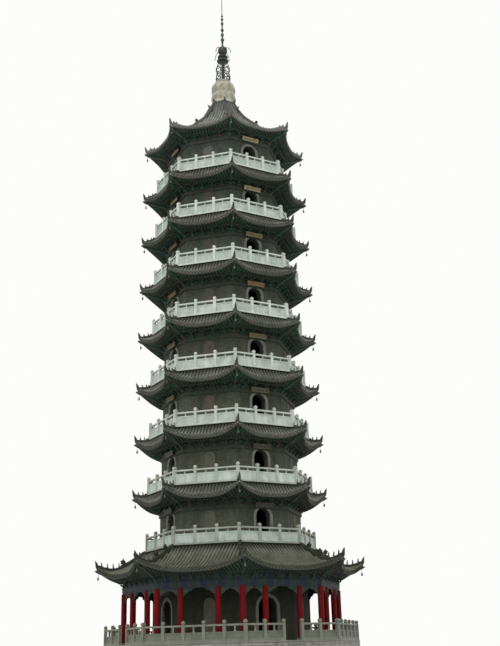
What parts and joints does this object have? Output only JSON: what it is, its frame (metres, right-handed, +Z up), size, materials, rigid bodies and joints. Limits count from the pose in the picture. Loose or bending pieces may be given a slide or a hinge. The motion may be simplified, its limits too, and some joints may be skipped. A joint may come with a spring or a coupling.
{
  "type": "half-size scale model of a pagoda",
  "caption": "Half-size model of an octagonal brick pagoda with a columned veranda, marble balustrades, arched doorways, tiled roofs turned up at the corners and a bronze spire.",
  "frame": {"origin": "centre of the base, on the surface that the terrace stands on", "axes": "+Z up the tower; +X, -X, +Y and -Y out of the four door sides, -Y being the front"},
  "size_m": [10.832, 10.832, 28.6],
  "materials": {
    "stone": "honed granite, weathered",
    "marble": "honed white marble, slightly soiled",
    "red_paint": "satin red lacquer",
    "brick": "matt grey brick",
    "painted_timber": "matt blue-green paint, aged",
    "roof_tile": "matt grey tile",
    "floor_edge": "matt dark green paint on concrete",
    "pale_stone": "matt pale stone",
    "bronze": "dark patina"
  },
  "bodies": {
    "root": {"terrace": "stone", "veranda_front": "red_paint", "veranda_right": "red_paint", "veranda_back": "red_paint", "veranda_left": "red_paint", "wall_1_front": "brick", "wall_1_right": "brick", "wall_1_back": "brick", "wall_1_left": "brick", "terrace_rail_front_right": "marble", "terrace_rail_back_right": "marble", "terrace_rail_back_left": "marble", "terrace_rail_front_left": "marble", "brackets_1": "painted_timber", "roof_1": "roof_tile", "wall_2": "brick", "brackets_2": "painted_timber", "roof_2": "roof_tile", "floor_2": "floor_edge", "balustrade_2": "marble", "wall_3": "brick", "brackets_3": "painted_timber", "roof_3": "roof_tile", "floor_3": "floor_edge", "balustrade_3": "marble", "wall_4": "brick", "brackets_4": "painted_timber", "roof_4": "roof_tile", "floor_4": "floor_edge", "balustrade_4": "marble", "wall_5": "brick", "brackets_5": "painted_timber", "roof_5": "roof_tile", "floor_5": "floor_edge", "balustrade_5": "marble", "wall_6": "brick", "brackets_6": "painted_timber", "roof_6": "roof_tile", "floor_6": "floor_edge", "balustrade_6": "marble", "wall_7": "brick", "brackets_7": "painted_timber", "roof_7": "roof_tile", "floor_7": "floor_edge", "balustrade_7": "marble", "wall_8": "brick", "brackets_8": "painted_timber", "roof_8": "roof_tile", "floor_8": "floor_edge", "balustrade_8": "marble", "wall_9": "brick", "brackets_9": "painted_timber", "roof_9": "roof_tile", "floor_9": "floor_edge", "balustrade_9": "marble", "roof_peak_right": "roof_tile", "roof_peak_left": "roof_tile", "spire_drum": "pale_stone", "spire_cage": "bronze", "spire_mast": "bronze"}
  },
  "joints": []
}
